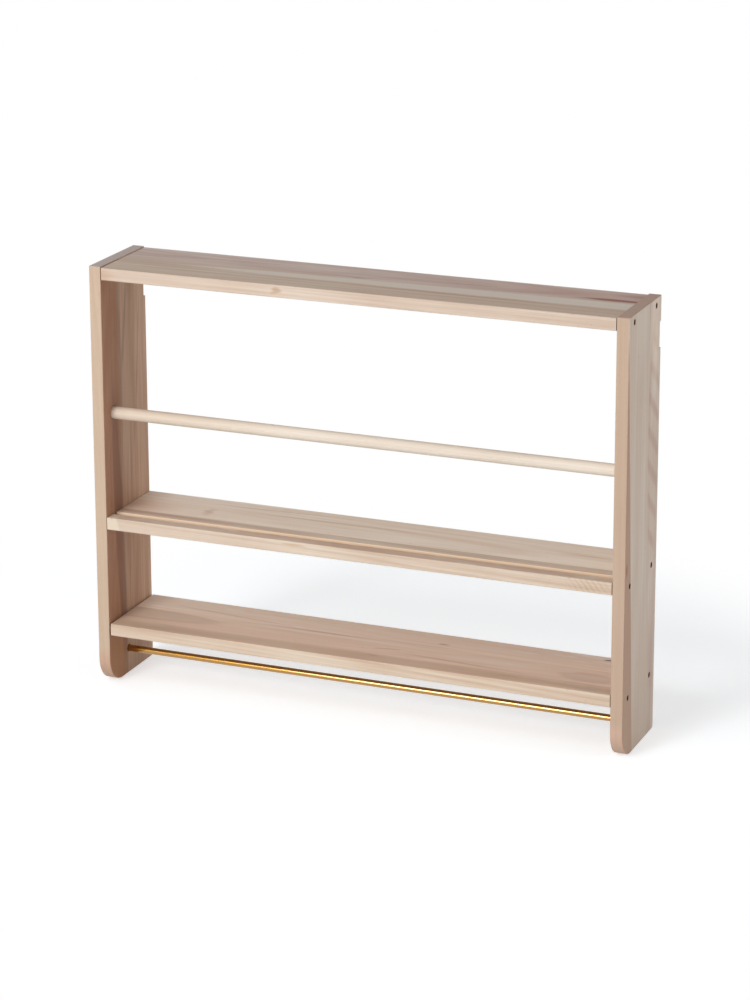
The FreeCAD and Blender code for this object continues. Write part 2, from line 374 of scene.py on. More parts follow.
@dataclass(frozen=True)
class Figure:
    """Nodes that draw one timber's figure.

    Attributes:
        timber: The timber.
        node: Adds a node to its material.
        grain: Grain coordinates: millimetres along, across and through the board from its middle.
        shifted: The same, moved apart from stave to stave.
    """

    timber: Tulipwood
    node: Adder
    grain: NodeSocket
    shifted: NodeSocket

    # Size and reach of the bends in the rings and in the outlines of marks.
    WANDER = (360.0, 90.0, 90.0)
    WANDER_REACH = (0.0, 12.0, 12.0)
    RAGGED = (60.0, 9.0, 9.0)
    RAGGED_REACH = (30.0, 5.0, 5.0)
    # Share of those bends in curled fibres, and the level where their waves start.
    CURL_BEND = 0.25
    CURL_START = -0.2
    # Heights from a panel's middle between which its edges turn to the foot's tone, and the tones' share.
    FOOT_RANGE = (-272.0, -258.0)
    EDGE_SHARE = 0.7
    # Shares of a direction between which a surface turns into a face, or into a cut end.
    FACE_RANGE = (0.5, 0.85)
    END_RANGE = (0.2, 0.6)
    END_SHARE = 0.85

    def cloud(self, size: Triple, detail: float, out: str = "Fac") -> NodeSocket:
        """Adds a cloudy pattern of a real size.

        Args:
            size: Size of one cloud along, across and through the board.
            detail: How many finer layers it has.
            out: Whether its grey or its colour is wanted.

        Returns:
            The pattern.
        """
        scale = [1 / side for side in size]
        scaled = self.node("VectorMath", {0: self.shifted, 1: scale}, operation="MULTIPLY")
        return self.node("TexNoise", {"Vector": scaled, "Scale": 1.0, "Detail": detail}, out)

    def wandering(self, size: Triple, reach: Triple, detail: float) -> NodeSocket:
        """Bends the grain coordinates to and fro.

        Args:
            size: Size of one bend along, across and through the board.
            reach: How far apart the bend's two ends lie each way.
            detail: How many finer layers it has.

        Returns:
            The bent coordinates.
        """
        drift = self.cloud(size, detail, "Color")
        drift = self.node("VectorMath", {0: drift, 1: (0.5, 0.5, 0.5)}, operation="SUBTRACT")
        return self.node("VectorMath", {0: drift, 1: reach, 2: self.grain}, operation="MULTIPLY_ADD")

    def facing(self, axis: str) -> NodeSocket:
        """Gives the share of a surface's direction along X, Y or Z."""
        return self.node("SeparateXYZ", {0: self.node("NewGeometry", out="Normal")}, axis)

    def rings(self, pith: NodeSocket) -> NodeSocket:
        """Adds growth rings about each stave's pith, which show as flames, lines or arcs.

        Args:
            pith: Each stave's pith and lean, packed into a colour.

        Returns:
            Tone of the ring at each point.
        """
        node = self.node
        span = (self.timber.PITH_RANGE, self.timber.PITH_RANGE, self.timber.LEAN_RANGE)
        unpacked = {0: pith, 1: [2 * side for side in span], 2: [-side for side in span]}
        middle = node("VectorMath", unpacked, operation="MULTIPLY_ADD")
        across, through, lean = (node("SeparateXYZ", {0: middle}, axis) for axis in "XYZ")
        bent = self.wandering(self.WANDER, self.WANDER_REACH, 1.0)
        along, over, deep = (node("SeparateXYZ", {0: bent}, axis) for axis in "XYZ")
        over = node("Math", {0: over, 1: across}, operation="SUBTRACT")
        deep = node("Math", {0: deep, 1: through}, operation="SUBTRACT")
        deep = node("Math", {0: along, 1: lean, 2: deep}, operation="MULTIPLY_ADD")
        spoke = node("CombineXYZ", {0: over, 1: deep})
        radius = node("VectorMath", {0: spoke}, "Value", operation="LENGTH")
        ring = {"W": radius, "Scale": 1 / self.timber.ring_width, "Detail": 2.0}
        return node("TexNoise", ring, "Fac", noise_dimensions="1D")

    def patch_share(self, patch: Patch) -> NodeSocket:
        """Adds the share of a patch's tone at each point.

        Args:
            patch: The patch.

        Returns:
            The share.
        """
        node = self.node
        side = node("VectorMath", {0: self.grain, 1: patch.normal}, "Value", operation="DOT_PRODUCT")
        low, high = patch.offset - patch.soft, patch.offset + patch.soft
        share = node("MapRange", {0: side, 1: low, 2: high, 3: patch.strength, 4: 0.0})
        middle, half = patch.across
        aside = node("Math", {0: node("SeparateXYZ", {0: self.grain}, "Y"), 1: middle}, operation="SUBTRACT")
        aside = node("Math", {0: aside}, operation="ABSOLUTE")
        low, high = half - patch.feather, half + patch.feather
        inside = node("MapRange", {0: aside, 1: low, 2: high, 3: 1.0, 4: 0.0})
        return node("Math", {0: share, 1: inside}, operation="MULTIPLY")

    def mark_share(self, mark: Mark, ragged: NodeSocket) -> NodeSocket:
        """Adds the share of a mark's tone at each point.

        Args:
            mark: The mark.
            ragged: Grain coordinates bent for a ragged outline.

        Returns:
            The share.
        """
        node = self.node
        spot = {0: ragged, 1: mark.centre, 2: (0.0, 0.0, math.radians(mark.angle)), 3: mark.reach}
        place = node("Mapping", spot, vector_type="TEXTURE")
        apart = node("VectorMath", {0: place}, "Value", operation="LENGTH")
        fade = {0: apart, 1: mark.core, 2: 1.0, 3: mark.strength, 4: 0.0}
        share = node("MapRange", fade, interpolation_type="SMOOTHSTEP")
        if mark.curl is None:
            return share
        waves = [math.tau * count for count in mark.curl]
        bent = node("Mix", {0: self.CURL_BEND, 4: self.grain, 5: ragged}, 1, data_type="VECTOR")
        wave = node("VectorMath", {0: bent, 1: waves}, "Value", operation="DOT_PRODUCT")
        wave = node("Math", {0: wave}, operation="SINE")
        wave = node("MapRange", {0: wave, 1: self.CURL_START, 2: 1.0})
        return node("Math", {0: share, 1: wave}, operation="MULTIPLY")

    def local_tones(self, colour: NodeSocket) -> NodeSocket:
        """Lays the board's patches and marks over its colour.

        Args:
            colour: Colour so far.

        Returns:
            Colour with the patches and marks.
        """
        ragged = self.wandering(self.RAGGED, self.RAGGED_REACH, 2.0)
        layers = [(self.patch_share(patch), patch.colour) for patch in self.timber.patches]
        layers += [(self.mark_share(mark, ragged), mark.colour) for mark in self.timber.marks]
        for share, tone in layers:
            colour = self.node("Mix", {0: share, 6: colour, 7: linear(tone)}, 2, data_type="RGBA")
        return colour

    def edges(self, plain: NodeSocket, toned: NodeSocket) -> NodeSocket:
        """Keeps the patches and marks of a panel's faces off its edges.

        Args:
            plain: Colour without patches and marks.
            toned: Colour with them.

        Returns:
            Colour with the edges' tone.
        """
        node, timber = self.node, self.timber
        low, high = self.FOOT_RANGE
        height = node("SeparateXYZ", {0: self.grain}, "X")
        foot = node("MapRange", {0: height, 1: low, 2: high, 3: 1.0, 4: 0.0})
        tone = node("Mix", {0: foot, 6: linear(timber.edge), 7: linear(timber.foot)}, 2, data_type="RGBA")
        edge = node("Mix", {0: self.EDGE_SHARE, 6: plain, 7: tone}, 2, data_type="RGBA")
        low, high = self.FACE_RANGE
        facing = node("Math", {0: self.facing("X")}, operation="ABSOLUTE")
        face = node("MapRange", {0: facing, 1: low, 2: high})
        return node("Mix", {0: face, 6: edge, 7: toned}, 2, data_type="RGBA")

    def end_grain_shade_and_sheen(self, colour: NodeSocket) -> NodeSocket:
        """Turns the cut ends of the fibres to another tone: painted shade at board ends, painted sheen on
        panel tops.

        On a panel only the upward-facing top takes that tone; its rounded foot keeps its own.

        Args:
            colour: Colour of the long grain.

        Returns:
            Colour with the tone of its ends.
        """
        node = self.node
        ends = self.facing("Z")
        if self.timber.grain is Grain.LENGTHWISE:
            ends = node("Math", {0: self.facing("X")}, operation="ABSOLUTE")
        low, high = self.END_RANGE
        share = node("MapRange", {0: ends, 1: low, 2: high, 4: self.END_SHARE})
        return node("Mix", {0: share, 6: colour, 7: linear(self.timber.end_shade_and_sheen)}, 2, data_type="RGBA")


@dataclass(frozen=True)
class Clouded:
    """A surface whose tone and gloss drift in a cloudy pattern.

    Attributes:
        name: The material's name.
        tones: Its two tones.
        cloud: Size of one cloud along X, Y and Z.
        detail: How many finer layers the pattern has.
        roughness: Roughness at each of the two tones.
        optics: The surface's other values, with the names of their sockets.
    """

    name: str
    tones: tuple[str, str]
    cloud: Triple
    detail: float
    roughness: Pair
    optics: tuple[tuple[str, float], ...]

    def material(self) -> Material:
        """Builds the material.

        Returns:
            A material that reads Object coordinates.
        """
        material, node = new_material(self.name)
        scale = [1 / (side * MM) for side in self.cloud]
        scaled = node("VectorMath", {0: node("TexCoord", out="Object"), 1: scale}, operation="MULTIPLY")
        cloud = node("TexNoise", {"Vector": scaled, "Scale": 1.0, "Detail": self.detail}, "Fac")
        first, second = (linear(tone) for tone in self.tones)
        colour = node("Mix", {0: cloud, 6: first, 7: second}, 2, data_type="RGBA")
        low, high = self.roughness
        gloss = low
        if high > low:
            gloss = node("MapRange", {0: cloud, 1: NOISE_LOW, 2: NOISE_HIGH, 3: low, 4: high})
        look = {"Base Color": colour, "Roughness": gloss, **dict(self.optics)}
        node("OutputMaterial", {0: node("BsdfPrincipled", look)})
        return material


@dataclass(frozen=True)
class ShadedBoreWood(Clouded):
    """Wall of a drilled hole: torn fibres and end grain, darkened to deep brown with painted shade."""

    name: str = "shaded_bore_tulipwood"
    tones: tuple[str, str] = ("#5B4030", "#8A6850")
    cloud: Triple = (0.8, 0.8, 0.8)
    detail: float = 2.0
    roughness: Pair = (0.9, 0.9)
    optics: tuple[tuple[str, float], ...] = (("Specular IOR Level", 0.1),)


@dataclass(frozen=True)
class DrawnBrass(Clouded):
    """Drawn brass rod: a warm yellow metal with hair-fine lines along it, under a clear lacquer.

    The lines are drawn coarser than they are so that they show.
    """

    name: str = "drawn_brass"
    tones: tuple[str, str] = ("#B27E12", "#A4720A")
    cloud: Triple = (40.0, 0.8, 0.8)
    detail: float = 2.0
    roughness: Pair = (0.19, 0.22)
    optics: tuple[tuple[str, float], ...] = (
        ("Metallic", 1.0),
        ("Coat Weight", 1.0),
        ("Coat Roughness", 0.1),
        ("Coat IOR", 1.85),
    )


@dataclass(frozen=True)
class ZincPlate(Clouded):
    """Zinc-plated steel: a cool grey metal with a soft cloudy sheen."""

    name: str = "zinc_plated_steel"
    tones: tuple[str, str] = ("#C4C6C8", "#A3A6A9")
    cloud: Triple = (3.0, 3.0, 3.0)
    detail: float = 3.0
    roughness: Pair = (0.28, 0.45)
    optics: tuple[tuple[str, float], ...] = (("Metallic", 1.0),)


def as_mesh(name: str, shape: BMesh) -> Mesh:
    """Writes a bmesh as a mesh, and frees it.

    Args:
        name: The mesh's name.
        shape: The bmesh.

    Returns:
        The mesh.
    """
    mesh = bpy.data.meshes.new(name)
    shape.to_mesh(mesh)
    shape.free()
    return mesh


def add_object(name: str, data: ID) -> Object:
    """Puts an object into the scene.

    Args:
        name: Its name.
        data: Its mesh, lamp or camera.

    Returns:
        The object.
    """
    thing = bpy.data.objects.new(name, data)
    bpy.context.scene.collection.objects.link(thing)
    return thing


def block(low: Vector, high: Vector) -> BMesh:
    """Makes a rectangular block.

    Args:
        low: Lowest corner.
        high: Highest corner.

    Returns:
        The block's mesh.
    """
    shape = bmesh.new()
    size = Matrix.Diagonal((*((high - low) * MM), 1.0))
    bmesh.ops.create_cube(shape, size=1.0, matrix=Matrix.Translation((low + high) * MM / 2) @ size)
    return shape


def prism(place: Matrix, radius: float, length: float, sides: int) -> BMesh:
    """Makes a straight prism.

    Args:
        place: Its middle and its direction.
        radius: Distance of its corners from its axis.
        length: Its length.
        sides: How many sides it has.

    Returns:
        The prism's mesh.
    """
    shape = bmesh.new()
    bmesh.ops.create_cone(
        shape,
        cap_ends=True,
        segments=sides,
        radius1=radius * MM,
        radius2=radius * MM,
        depth=length * MM,
        matrix=place,
    )
    return shape


def turned(profile: Iterable[Pair], start: Vector, direction: Vector) -> BMesh:
    """Turns a profile about an axis.

    Args:
        profile: Distance along the axis and radius of each corner, from axis to axis.
        start: Point that distances count from.
        direction: Direction of the axis.

    Returns:
        The turned solid.
    """
    shape = bmesh.new()
    corners = [shape.verts.new((radius * MM, 0, along * MM)) for along, radius in profile]
    edges = [shape.edges.new(pair) for pair in zip(corners, corners[1:])]
    bmesh.ops.spin(
        shape,
        geom=corners + edges,
        cent=(0, 0, 0),
        axis=Z_AXIS,
        angle=math.tau,
        steps=ROUND_STEPS,
        use_merge=True,
    )
    bmesh.ops.remove_doubles(shape, verts=shape.verts, dist=MERGED * MM)
    turn = Z_AXIS.rotation_difference(direction).to_matrix().to_4x4()
    bmesh.ops.transform(shape, matrix=Matrix.Translation(start * MM) @ turn, verts=shape.verts)
    bmesh.ops.recalc_face_normals(shape, faces=shape.faces)
    return shape


def bore(start: Vector, direction: Vector, steps: Sequence[Pair], ease: float = 0.0) -> BMesh:
    """Makes the cutter of a round hole.

    Args:
        start: Middle of the mouth.
        direction: Way that the hole goes in.
        steps: Depth that each width reaches, and its radius, from the mouth inwards.
        ease: Width of the mouth's eased rim.

    Returns:
        The cutter.
    """
    mouth = steps[0][1]
    profile = [(-RUN_OUT, 0.0), (-RUN_OUT, mouth)]
    if ease:
        profile[1:] = [(-RUN_OUT, mouth + ease + RUN_OUT), (ease, mouth)]
    for (depth, radius), (_, following) in zip(steps, [*steps[1:], (0.0, 0.0)]):
        profile += [(depth, radius), (depth, following)]
    return turned(profile, start, direction)


def slot_cutter(start: Vector, direction: Vector, depth: float, radius: float, rise: float) -> BMesh:
    """Makes the cutter of an upright slot with round ends.

    Args:
        start: Middle of its lower end.
        direction: Way that the slot goes in.
        depth: How deep it goes.
        radius: Half its width.
        rise: Distance between the middles of its ends.

    Returns:
        The cutter.
    """
    middle = (start + direction * (depth / 2)) * MM
    turn = Z_AXIS.rotation_difference(direction).to_matrix().to_4x4()
    half_step = Matrix.Rotation(math.pi / ROUND_STEPS, 4, "Z")
    shape = prism(Matrix.Translation(middle) @ turn @ half_step, radius, depth, ROUND_STEPS)
    upper = [vert for vert in shape.verts if vert.co.z > middle.z]
    bmesh.ops.translate(shape, verts=upper, vec=Z_AXIS * rise * MM)
    bmesh.ops.recalc_face_normals(shape, faces=shape.faces)
    return shape


def round_over(shape: BMesh, wanted: Callable[[BMEdge], bool], rounding: Rounding) -> None:
    """Rounds the edges that a test picks.

    Args:
        shape: Mesh to change.
        wanted: Says whether an edge is rounded.
        rounding: Radius of the rounding, and the faces across it.
    """
    radius, faces = rounding
    shape.normal_update()
    bmesh.ops.bevel(
        shape,
        geom=[edge for edge in shape.edges if wanted(edge)],
        offset=radius * MM,
        offset_type="OFFSET",
        segments=faces,
        profile=0.5,
        affect="EDGES",
        material=-1,
        clamp_overlap=True,
    )


def runs_along(edge: BMEdge, axis: Vector) -> bool:
    """Says whether an edge is parallel to an axis."""
    way = edge.verts[1].co - edge.verts[0].co
    return abs(way.normalized().dot(axis)) > PARALLEL


def rims(edge: BMEdge, axis: Vector) -> bool:
    """Says whether an edge bounds a face that looks along an axis."""
    faces = [abs(face.normal.dot(axis)) > PARALLEL for face in edge.link_faces]
    return any(faces) and not all(faces)


def middle_of(edge: BMEdge) -> Vector:
    """Middle of an edge, in millimetres."""
    return (edge.verts[0].co + edge.verts[1].co) / (2 * MM)


def together(shapes: Iterable[BMesh]) -> BMesh:
    """Gathers several meshes into one.

    Args:
        shapes: The meshes, which are freed.

    Returns:
        One mesh with all of them.
    """
    whole = bmesh.new()
    for shape in shapes:
        mesh = as_mesh("part", shape)
        whole.from_mesh(mesh)
        bpy.data.meshes.remove(mesh)
    return whole


def cut(blank: BMesh, cutters: Iterable[BMesh]) -> BMesh:
    """Cuts holes into a blank, one after the other.

    Args:
        blank: The solid.
        cutters: Solids to take away.

    Returns:
        The solid with its holes.
    """
    solid = blank
    for cutter in cutters:
        things = [add_object("cut", as_mesh("cut", shape)) for shape in (solid, cutter)]
        modifier = things[0].modifiers.new("cut", "BOOLEAN")
        modifier.operation = "DIFFERENCE"
        modifier.solver = "EXACT"
        modifier.object = things[1]
        graph = bpy.context.evaluated_depsgraph_get()
        meshes = [bpy.data.meshes.new_from_object(things[0].evaluated_get(graph))]
        meshes += [thing.data for thing in things]
        solid = bmesh.new()
        solid.from_mesh(meshes[0])
        for thing in things:
            bpy.data.objects.remove(thing)
        for mesh in meshes:
            bpy.data.meshes.remove(mesh)
    return solid


@dataclass(frozen=True)
class Piece:
    """Place of a finished mesh in the object.

    Attributes:
        node: The CAD node that it stands for, whose name it takes.
        body: The body that carries it.
        slot: The record's finish slot; not used.
    """

    node: str
    body: str
    slot: str

    def place(self, shape: BMesh, *materials: Material) -> Object:
        """Writes the mesh as an object that rides on its body and replaces its CAD node.

        Args:
            shape: The finished mesh, which is freed.
            *materials: Its finishes, in the order of its faces' material numbers.

        Returns:
            The object.
        """
        for edge in shape.edges:
            edge.smooth = edge.calc_face_angle(0.0) < SMOOTH_BELOW
        for face in shape.faces:
            face.smooth = True
        name = self.node + "_finished"
        mesh = as_mesh(name, shape)
        for material in materials:
            mesh.materials.append(material)
        thing = add_object(name, mesh)
        flat = thing.modifiers.new("even_shading", "WEIGHTED_NORMAL")
        flat.keep_sharp = True
        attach(thing, self.body)
        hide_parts(self.node)
        log.info("%s: %d faces on %s", thing.name, len(mesh.polygons), self.body)
        return thing


def extent(node: str) -> tuple[Vector, Vector]:
    """Lowest and highest corner of a CAD node, in millimetres."""
    low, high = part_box(node)
    return low / MM, high / MM


@dataclass(frozen=True)
class Joinery:
    """Holes and seats that the boards share.

    Attributes:
        screw_rows: Places of the assembly screws across the depth.
        counterbore: Depth and radius of a screw's sunk seat.
        clearance_radius: Radius of its hole through the panel.
        pilot: Depth and radius of its hole in a board's end.
        rails: Place across the depth, height and radius of the sockets of each rail.
        socket_depth: Depth of the sockets.
        ease: Width of the eased rim of a hole.
        socket_ease: The same for a socket.
    """

    screw_rows: Pair = (-48.0, 48.0)
    counterbore: Pair = (8.0, 4.0)
    clearance_radius: float = 2.75
    pilot: Pair = (42.0, 2.55)
    rails: tuple[Triple, ...] = ((-39.0, 406.5, 9.05), (-8.5, 37.5, 5.05))
    socket_depth: float = 9.0
    ease: float = 0.35
    socket_ease: float = 0.8


@dataclass(frozen=True)
class HangerSizes:
    """Keyhole plate on the floor of a panel's notch, which hooks over a wall screw.

    Attributes:
        notch: Lower and upper end of the notch.
        notch_floor: Place of its floor across the depth.
        thickness: Thickness of the plate.
        corner: Rounding of its corners.
        entry: Height and radius of the keyhole's round entry.
        slot_radius: Half the width of its slot.
        travel: How far the slot rises from the entry.
        pocket: Depth and half width of the hollow behind it.
        screw_heights: Heights of the two screws.
        screw_radius: Radius of their shanks.
        pilot: Depth and radius of their pilot holes.
    """

    notch: Pair = (554.0, 591.5)
    notch_floor: float = 64.0
    thickness: float = 2.0
    corner: Rounding = (3.0, 8)
    entry: Pair = (569.25, 4.75)
    slot_radius: float = 2.5
    travel: float = 9.0
    pocket: Pair = (5.0, 5.25)
    screw_heights: Pair = (558.75, 586.75)
    screw_radius: float = 1.5
    pilot: Pair = (16.0, 1.55)


@dataclass(frozen=True)
class SidePanel:
    """Upright end of the shelf, with a large radius at its front foot.

    Attributes:
        side: Which end it is.
        timber: Its finish.
        joinery: Holes for the screws and rails.
        hanger: Sizes of its hanger notch.
        board_heights: Middles of the boards that it carries.
        foot: Rounding at the front foot.
        heel: Rounding at the back foot.
        top: Rounding along the top edges.
        arris: Rounding of the eased edges.
    """

    side: Side
    timber: Tulipwood
    joinery: Joinery
    hanger: HangerSizes
    board_heights: tuple[float, ...]
    foot: Rounding = (40.0, 32)
    heel: Rounding = (5.0, 10)
    top: Rounding = (1.4, 4)
    arris: Rounding = (1.3, 4)
    # How far inside the panel's faces the wall of a hole starts.
    SKIN = 0.1

    @property
    def node(self) -> str:
        """Name of the panel's CAD node."""
        return self.side.word + "_side_panel"

    def screw_places(self) -> list[Pair]:
        """Place across the depth and height of each assembly screw."""
        return [(row, height) for height in self.board_heights for row in self.joinery.screw_rows]

    def blank(self) -> BMesh:
        """Makes the panel before it is bored.

        Returns:
            The rounded board.
        """
        low, high = extent(self.node)
        shape = block(low, high)
        for depth, height, rounding in (
            (low.y, low.z, self.foot),
            (high.y, low.z, self.heel),
            (low.y, high.z, self.top),
            (high.y, high.z, self.top),
        ):
            corner = Vector((0, depth, height))
            round_over(
                shape,
                lambda edge: runs_along(edge, X_AXIS) and (middle_of(edge) - corner).yz.length < NEAR,
                rounding,
            )
        round_over(shape, lambda edge: rims(edge, X_AXIS), self.arris)
        return shape

    def cutters(self) -> list[BMesh]:
        """Makes the cutters for its screw holes, rail sockets and hanger notch.

        Returns:
            The cutters.
        """
        low, high = extent(self.node)
        outer, inner = (low.x, high.x) if self.side is Side.LEFT else (high.x, low.x)
        inward = X_AXIS * -self.side.value
        joinery, hanger = self.joinery, self.hanger
        through = (abs(inner - outer) + RUN_OUT, joinery.clearance_radius)
        shapes = [
            bore(Vector((outer, row, height)), inward, [joinery.counterbore, through], joinery.ease)
            for row, height in self.screw_places()
        ]
        for row, height, radius in joinery.rails:
            mouth = Vector((inner, row, height))
            shapes.append(bore(mouth, -inward, [(joinery.socket_depth, radius)], joinery.socket_ease))
        floor, middle = hanger.notch_floor, (low.x + high.x) / 2
        bottom = Vector((low.x - RUN_OUT, floor, hanger.notch[0]))
        shapes.append(block(bottom, Vector((high.x + RUN_OUT, high.y + RUN_OUT, hanger.notch[1]))))
        entry = Vector((middle, floor + RUN_OUT, hanger.entry[0]))
        depth, radius = hanger.pocket
        shapes.append(slot_cutter(entry, -Y_AXIS, depth + RUN_OUT, radius, hanger.travel))
        for height in hanger.screw_heights:
            shapes.append(bore(Vector((middle, floor, height)), -Y_AXIS, [hanger.pilot]))
        return shapes

    def build(self) -> Object:
        """Makes, bores and places the panel, with painted shade in its holes.

        Returns:
            The finished panel.
        """
        low, high = extent(self.node)
        joinery = self.joinery
        holes = [(row, height, radius + joinery.socket_ease) for row, height, radius in joinery.rails]
        holes += [(*place, joinery.counterbore[1]) for place in self.screw_places()]
        shape = cut(self.blank(), self.cutters())
        for face in shape.faces:
            middle = face.calc_center_median() / MM
            inside = low.x + self.SKIN < middle.x < high.x - self.SKIN
            bored = any(math.hypot(middle.y - row, middle.z - height) < reach for row, height, reach in holes)
            face.material_index = int(inside and bored)
        finishes = self.timber.material(), ShadedBoreWood().material()
        return Piece(self.node, "frame", "board_wood").place(shape, *finishes)


@dataclass(frozen=True)
class Groove:
    """Plate groove along a shelf's front.

    Attributes:
        front: Where it starts across the depth.
        width: Its width.
        depth: Its depth.
        ease: Rounding of its upper edges.
    """

    front: float = -50.0
    width: float = 10.0
    depth: float = 6.0
    ease: Rounding = (0.9, 4)


@dataclass(frozen=True)
class Board:
    """Board between the panels.

    Attributes:
        node: Name of its CAD node.
        timber: Its finish.
        joinery: Pilot holes in its ends.
        groove: Its plate groove, if it has one.
        arris: Rounding of its long edges.
        end_arris: Rounding of its end edges.
        end_gaps: Width of the shadow gap at its left and right end, round a tongue that meets the panel.
        tongue_inset: How far that tongue stands back from the board's faces.
    """

    node: str
    timber: Tulipwood
    joinery: Joinery
    groove: Groove | None = None
    arris: Rounding = (1.2, 4)
    end_arris: Rounding = (0.4, 3)
    end_gaps: Pair = (0.5, 0.5)
    tongue_inset: float = 4.0

    def section(self) -> list[Pair]:
        """Lists the corners of the board's section across the shelf.

        Returns:
            Place across the depth and height of each corner.
        """
        low, high = extent(self.node)
        corners = [(low.y, low.z), (high.y, low.z), (high.y, high.z)]
        if self.groove:
            near, far = self.groove.front, self.groove.front + self.groove.width
            floor = high.z - self.groove.depth
            corners += [(far, high.z), (far, floor), (near, floor), (near, high.z)]
        return [*corners, (low.y, high.z)]

    def body(self) -> BMesh:
        """Draws the section out between the panels, with a tongue at each end.

        Returns:
            The board with sharp edges.
        """
        low, high = extent(self.node)
        left, right = (X_AXIS * gap for gap in self.end_gaps)
        shape = bmesh.new()
        corners = [shape.verts.new((Vector((low.x, y, z)) + left) * MM) for y, z in self.section()]
        grown = bmesh.ops.extrude_face_region(shape, geom=[shape.faces.new(corners)])["geom"]
        moved = [item for item in grown if isinstance(item, BMVert)]
        bmesh.ops.translate(shape, verts=moved, vec=(X_AXIS * (high.x - low.x) - left - right) * MM)
        bmesh.ops.recalc_face_normals(shape, faces=shape.faces)
        shape.normal_update()
        for end in [face for face in shape.faces if abs(face.normal.x) > PARALLEL]:
            way = right * MM if end.normal.x > 0 else -left * MM
            bmesh.ops.inset_region(shape, faces=[end], thickness=self.tongue_inset * MM, use_even_offset=True)
            grown = bmesh.ops.extrude_discrete_faces(shape, faces=[end])["faces"]
            bmesh.ops.translate(shape, verts=grown[0].verts, vec=way)
        return shape

    def blank(self) -> BMesh:
        """Makes the board before its ends are bored.

        Returns:
            The board with its groove and eased edges.
        """
        low, high = extent(self.node)
        left, right = self.end_gaps
        shape = self.body()
        if self.groove:
            near = self.groove.front - NEAR
            far = self.groove.front + self.groove.width + NEAR

            def at_mouth(edge: BMEdge) -> bool:
                """Says whether an edge is an upper edge of the groove."""
                place = middle_of(edge)
                return near < place.y < far and place.z > high.z - NEAR

            round_over(shape, lambda edge: runs_along(edge, X_AXIS) and at_mouth(edge), self.groove.ease)

        def at_side(edge: BMEdge) -> bool:
            """Says whether an edge lies in the board's front or back."""
            return min(abs(middle_of(edge).y - side) for side in (low.y, high.y)) < NEAR

        def on_body(edge: BMEdge) -> bool:
            """Says whether an edge is clear of the tongues."""
            places = [face.calc_center_median().x / MM for face in edge.link_faces]
            return low.x + left - NEAR < min(places) and max(places) < high.x - right + NEAR

        round_over(shape, lambda edge: runs_along(edge, X_AXIS) and at_side(edge), self.arris)
        round_over(shape, lambda edge: rims(edge, X_AXIS) and on_body(edge), self.end_arris)
        return shape

    def build(self) -> Object:
        """Makes, bores and places the board.

        Returns:
            The finished board.
        """
        low, high = extent(self.node)
        height = (low.z + high.z) / 2
        cutters = [
            bore(Vector((end, row, height)), way, [self.joinery.pilot])
            for end, way in ((low.x, X_AXIS), (high.x, -X_AXIS))
            for row in self.joinery.screw_rows
        ]
        shape = cut(self.blank(), cutters)
        return Piece(self.node, "frame", "board_wood").place(shape, self.timber.material())


@dataclass(frozen=True)
class Rail:
    """Round rail that turns in the panels' sockets.

    Attributes:
        node: Name of its CAD node and of its body.
        slot: Its finish slot.
        finish: Its finish.
        chamfer: Eased edge of its ends.
    """

    node: str
    slot: str
    finish: Tulipwood | DrawnBrass
    chamfer: float
    # Share of the eased edge at which its outline has a corner.
    KNEE = 0.3

    def build(self) -> Object:
        """Turns and places the rail.

        Returns:
            The finished rail.
        """
        low, high = extent(self.node)
        length, radius, ease = high.x - low.x, (high.z - low.z) / 2, self.chamfer
        knee = ease * self.KNEE
        end = [(0.0, 0.0), (0.0, radius - ease), (knee, radius - knee), (ease, radius)]
        profile = end + [(length - along, wide) for along, wide in reversed(end)]
        start = Vector((low.x, (low.y + high.y) / 2, (low.z + high.z) / 2))
        shape = turned(profile, start, X_AXIS)
        return Piece(self.node, self.node, self.slot).place(shape, self.finish.material())


@dataclass(frozen=True)
class AssemblyScrews:
    """Two sunk screws with hexagon sockets that draw a panel onto a board's end.

    Attributes:
        level: Which board they hold.
        side: At which end.
        height: Middle of the board.
        joinery: Places of the screws.
        head: Radius and height of the head.
        head_ease: Eased edge of the head.
        shank: Radius and length of the shank.
        point: Length of the pointed end, and radius of its tip.
        socket: Width across the socket's flats, and its depth.
    """

    level: str
    side: Side
    height: float
    joinery: Joinery
    head: Pair = (3.8, 3.0)
    head_ease: float = 0.4
    shank: Pair = (2.5, 50.0)
    point: Pair = (6.0, 0.4)
    socket: Pair = (4.0, 2.0)

    def build(self, material: Material) -> Object:
        """Turns both screws, cuts their sockets and places them.

        Args:
            material: Their finish.

        Returns:
            The pair as one object.
        """
        node = f"{self.level}_{self.side.word}_screws"
        low, high = extent(node)
        inward = X_AXIS * -self.side.value
        crown = low.x if self.side is Side.LEFT else high.x
        radius, tall = self.head
        thin, long = self.shank
        taper, tip = self.point
        profile = [
            (0.0, 0.0),
            (0.0, radius - self.head_ease),
            (self.head_ease, radius),
            (tall, radius),
            (tall, thin),
            (tall + long - taper, thin),
            (tall + long, tip),
            (tall + long, 0.0),
        ]
        across, deep = self.socket
        screws = []
        for row in self.joinery.screw_rows:
            start = Vector((crown, row, self.height))
            place = Matrix.Translation(start * MM) @ Matrix.Rotation(math.pi / 2, 4, "Y")
            key = prism(place, across / math.sqrt(3), 2 * deep, 6)
            screws.append(cut(turned(profile, start, inward), [key]))
        return Piece(node, "frame", "zinc_steel").place(together(screws), material)


